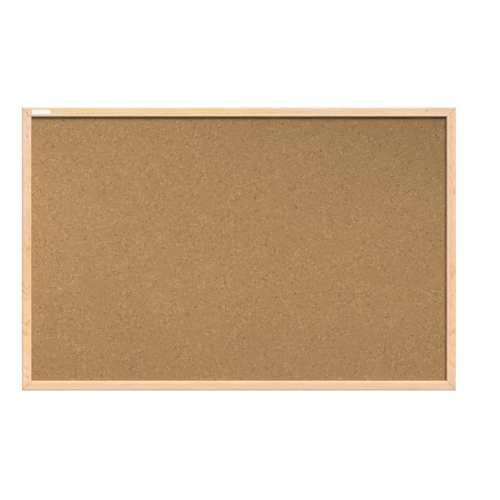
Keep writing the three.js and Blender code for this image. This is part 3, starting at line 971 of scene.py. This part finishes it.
def make_strap(node, choice, material, screws):
    """A strip folded round the ring's bar and back on itself, with a rounded foot and holes for screws."""
    low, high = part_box(node)
    gauge, bend = choice.gauge, choice.strap_bend
    barrel = (high.y - low.y) / 2
    centre = Vector((low.x, low.y + barrel, high.z - barrel))
    rise = 2 * gauge + choice.slit + bend - barrel
    span = barrel + bend
    turned = math.asin(rise / span)
    fall = span * math.cos(turned)
    across = (1, 0, 0)

    bm = bmesh.new()
    foot = bm.edges.new([bm.verts.new((low.x, low.y + depth, low.z)) for depth in (0, gauge)])
    runs = (
        ((0, 0, centre.z - low.z),),
        (centre, across, -(3 * QUARTER_TURN - turned), FACETS["barrel"]),
        (centre + Vector((0, rise, -fall)), across, QUARTER_TURN - turned, FACETS["strap_bend"]),
        ((0, 0, low.z - centre.z + fall),),
    )
    draw_along(bm, [foot], runs)
    strip = bmesh.ops.extrude_face_region(bm, geom=list(bm.faces))
    shift(bm, strip["geom"], (high.x - low.x, 0, 0))
    face_outwards(bm)
    lowest = [e for e in bm.edges if all(v.co.z < low.z + NEAR for v in e.verts)]
    corners = [e for e in lowest if abs(e.verts[0].co.y - e.verts[1].co.y) > NEAR]
    round_off(bm, corners, (high.x - low.x - choice.foot_flat) / 2, FACETS["strap_foot"])
    piece = new_piece(f"{node}_steel", bm, material, sharp=50)
    for screw in screws:
        head_low, head_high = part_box(screw)
        place = ((low.x + high.x) / 2, centre.y, (head_low.z + head_high.z) / 2)
        bored = Matrix.Translation(place) @ Matrix.Rotation(QUARTER_TURN, 4, "X")
        drill = bmesh.new()
        bmesh.ops.create_cone(
            drill, cap_ends=True, segments=2 * choice.sides, depth=4 * barrel, matrix=bored,
            radius1=choice.screw_hole / 2, radius2=choice.screw_hole / 2,
        )
        carve(piece, drill)
    bm = bmesh.new()
    bm.from_mesh(piece.data)
    round_off(bm, sharp_edges(bm, 50), choice.plate_ease)
    for face in bm.faces:
        face.smooth = True
    bm.to_mesh(piece.data)
    bm.free()
    even_normals(piece)
    return piece


def make_screw(node, choice, seat, material):
    """A pan head over a threaded shank with a point, turned about Y, and its cross recess."""
    low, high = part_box(node)
    middle = Vector(((low.x + high.x) / 2, 0, (low.z + high.z) / 2))
    rim, shank = (high.x - low.x) / 2, choice.shank / 2
    bm = bmesh.new()
    edge = bm.verts.new((rim, 0, 0))
    dome = bmesh.ops.spin(
        bm, geom=[edge], cent=(0, 0, 0), axis=(0, 0, 1), angle=QUARTER_TURN, steps=FACETS["dome"]
    )
    bmesh.ops.scale(bm, vec=(1, (choice.head - choice.head_rim) / rim, 1), verts=bm.verts)
    shift(bm, bm.verts, (0, seat + choice.head_rim, 0))
    dome["geom_last"][0].co.x = 0
    path = [edge] + [
        bm.verts.new((reach, level, 0))
        for reach, level in ((rim, seat), (shank, seat), (shank, low.y + choice.point), (0, low.y))
    ]
    sides = [bm.edges.new(pair) for pair in zip(path, path[1:])]
    bmesh.ops.subdivide_edges(bm, edges=sides[2:], cuts=THREAD_CUTS)
    profile = [*bm.verts, *bm.edges]
    bmesh.ops.spin(
        bm, geom=profile, cent=(0, 0, 0), axis=(0, 1, 0), angle=math.tau, steps=choice.sides, use_merge=True
    )
    bmesh.ops.remove_doubles(bm, verts=bm.verts, dist=NEAR)
    face_outwards(bm)
    under = [e for e in bm.edges if all(v.co.y < seat + NEAR for v in e.verts)]
    brim = [e for e in under if all(v.co.xz.length > rim - NEAR for v in e.verts)]
    round_off(bm, brim, choice.plate_ease)
    for vert in bm.verts:
        pitches = (seat - vert.co.y) / choice.thread_pitch - PLAIN_NECK
        if pitches > 0:
            turns = pitches + math.atan2(vert.co.z, vert.co.x) / math.tau
            flank = abs(2 * (turns % 1) - 1)
            fade = min(1, pitches, vert.co.xz.length / shank)
            cut = 1 - choice.thread_depth / shank * fade * (1 - flank**3)
            vert.co.x *= cut
            vert.co.z *= cut
    shift(bm, bm.verts, middle)
    piece = new_piece(f"{node}_steel", bm, material, sharp=40)
    arms = (choice.cross_reach, choice.cross_width)
    for width, height in (arms, reversed(arms)):
        arm = bmesh.new()
        bmesh.ops.create_cube(arm, size=1)
        bmesh.ops.scale(arm, vec=(width, 2 * choice.cross_depth, height), verts=arm.verts)
        inner = [vert for vert in arm.verts if vert.co.y < 0]
        bmesh.ops.scale(arm, vec=(CROSS_TAPER, 1, CROSS_TAPER), verts=inner)
        shift(arm, arm.verts, middle + Vector((0, seat + choice.head, 0)))
        carve(piece, arm)
    even_normals(piece, sharp=40)
    return piece


class MESH_OT_board_hangers(bpy.types.Operator):
    """Makes the hangers' straps, rings and screws"""

    bl_idname = "mesh.board_hangers"
    bl_label = "Hangers"

    def execute(self, context):
        plate = zinc_plate()
        choice = settings("fittings")
        seat = 2 * choice.gauge + choice.slit
        for side in ("left", "right"):
            strap, ring = f"{side}_hanger_strap", f"{side}_hanger_ring"
            screws = [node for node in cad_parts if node.startswith(f"{side}_hanger_screw")]
            finish_piece(make_strap(strap, choice, plate, screws), BOARD, "zinc_plate", strap)
            finish_piece(make_ring(ring, choice, plate), f"{side}_ring", "zinc_plate", ring)
            for screw in screws:
                finish_piece(make_screw(screw, choice, seat, plate), BOARD, "zinc_plate", screw)
        return {"FINISHED"}


# Stage


def add_sun(name, choice):
    """A sun as the settings under its name say, in front of the board where its side turn is nought."""
    strength, height, side = (getattr(choice, f"{name}_{part}") for part in ("strength", "height", "side"))
    towards = (math.cos(height) * math.sin(side), -math.cos(height) * math.cos(side), math.sin(height))
    light = bpy.data.lights.new(name, "SUN")
    light.energy = strength
    light.angle = choice.softness
    lamp = bpy.data.objects.new(name, light)
    lamp.rotation_mode = "QUATERNION"
    lamp.rotation_quaternion = Vector(towards).to_track_quat("Z", "Y")
    bpy.context.scene.collection.objects.link(lamp)


def seen_directly(finish):
    """1 for what the camera, a mirror or glass sees, and 0 for light that falls on a matt surface."""
    ray = finish.node("ShaderNodeLightPath", output="Is Camera Ray")
    return (ray + ray.output("Is Glossy Ray") + ray.output("Is Transmission Ray")).least(1.0)


class MESH_OT_board_stage(bpy.types.Operator):
    """Makes the camera, the pale floor and the light"""

    bl_idname = "mesh.board_stage"
    bl_label = "Stage"

    def execute(self, context):
        choice = settings("stage")
        scene = context.scene
        silhouette = choice.camera_distance - RAIL_DEPTH + settings("moulding").outer_arris
        lens = bpy.data.cameras.new("camera")
        lens.sensor_width = 36
        lens.lens = choice.view_share * lens.sensor_width * silhouette / BOARD_WIDTH
        camera = bpy.data.objects.new("camera", lens)
        camera.location = (choice.camera_side, -choice.camera_distance, -choice.camera_drop)
        camera.rotation_euler = (QUARTER_TURN, 0, 0)
        scene.collection.objects.link(camera)
        scene.camera = camera

        bm = bmesh.new()
        bmesh.ops.create_grid(bm, x_segments=4, y_segments=4, size=choice.floor_reach)
        shift(bm, bm.verts, (0, 0, -choice.floor_drop))
        finish = new_finish("pale_floor")
        for_light, for_eye = (
            finish.node("ShaderNodeBsdfDiffuse", inputs={"Color": (grey, grey, grey)})
            for grey in (choice.floor_lit, choice.floor_seen)
        )
        inputs = {0: seen_directly(finish), 1: for_light, 2: for_eye}
        both = finish.node("ShaderNodeMixShader", inputs=inputs)
        finish.node("ShaderNodeOutputMaterial", inputs={"Surface": both})
        floor = new_piece("floor", bm, finish.owner)

        scene.world = bpy.data.worlds.new("studio")
        finish = Finish(scene.world)
        strength = seen_directly(finish) * (1 - choice.ambient) + choice.ambient
        sky = finish.node("ShaderNodeBackground", inputs={"Color": (1.0, 1.0, 1.0), "Strength": strength})
        finish.node("ShaderNodeOutputWorld", inputs={"Surface": sky})
        add_sun("key", choice)
        add_sun("rear", choice)
        scene.view_settings.view_transform = "Standard"
        return {"FINISHED"}


class VIEW3D_PT_cork_board(bpy.types.Panel):
    """Lists the board's settings and the operators that make it"""

    bl_idname = "VIEW3D_PT_cork_board"
    bl_label = "Cork Board"
    bl_space_type = "VIEW_3D"
    bl_region_type = "UI"
    bl_category = "Cork Board"

    def draw(self, context):
        for name, group in GROUPS.items():
            box = self.layout.box()
            box.label(text=group.__doc__)
            for setting in group.__annotations__:
                box.prop(getattr(context.scene, name), setting)
        for operator in OPERATORS:
            self.layout.operator(operator.bl_idname)


GROUPS = {
    "moulding": MouldingSettings,
    "cork": CorkSettings,
    "core": CoreSettings,
    "label": LabelSettings,
    "fittings": FittingSettings,
    "stage": StageSettings,
}
OPERATORS = (
    MESH_OT_board_stage,
    MESH_OT_board_rails,
    MESH_OT_board_cork,
    MESH_OT_board_core,
    MESH_OT_board_label,
    MESH_OT_board_nails,
    MESH_OT_board_hangers,
)
CLASSES = (*GROUPS.values(), *OPERATORS, VIEW3D_PT_cork_board)


def register():
    for kind in CLASSES:
        bpy.utils.register_class(kind)
    for name, group in GROUPS.items():
        setattr(bpy.types.Scene, name, PointerProperty(type=group))


def unregister():
    for name in GROUPS:
        delattr(bpy.types.Scene, name)
    for kind in reversed(CLASSES):
        bpy.utils.unregister_class(kind)


def main():
    register()
    for operator in OPERATORS:
        group, name = operator.bl_idname.split(".")
        getattr(getattr(bpy.ops, group), name)()


if __name__ == "__main__":
    main()
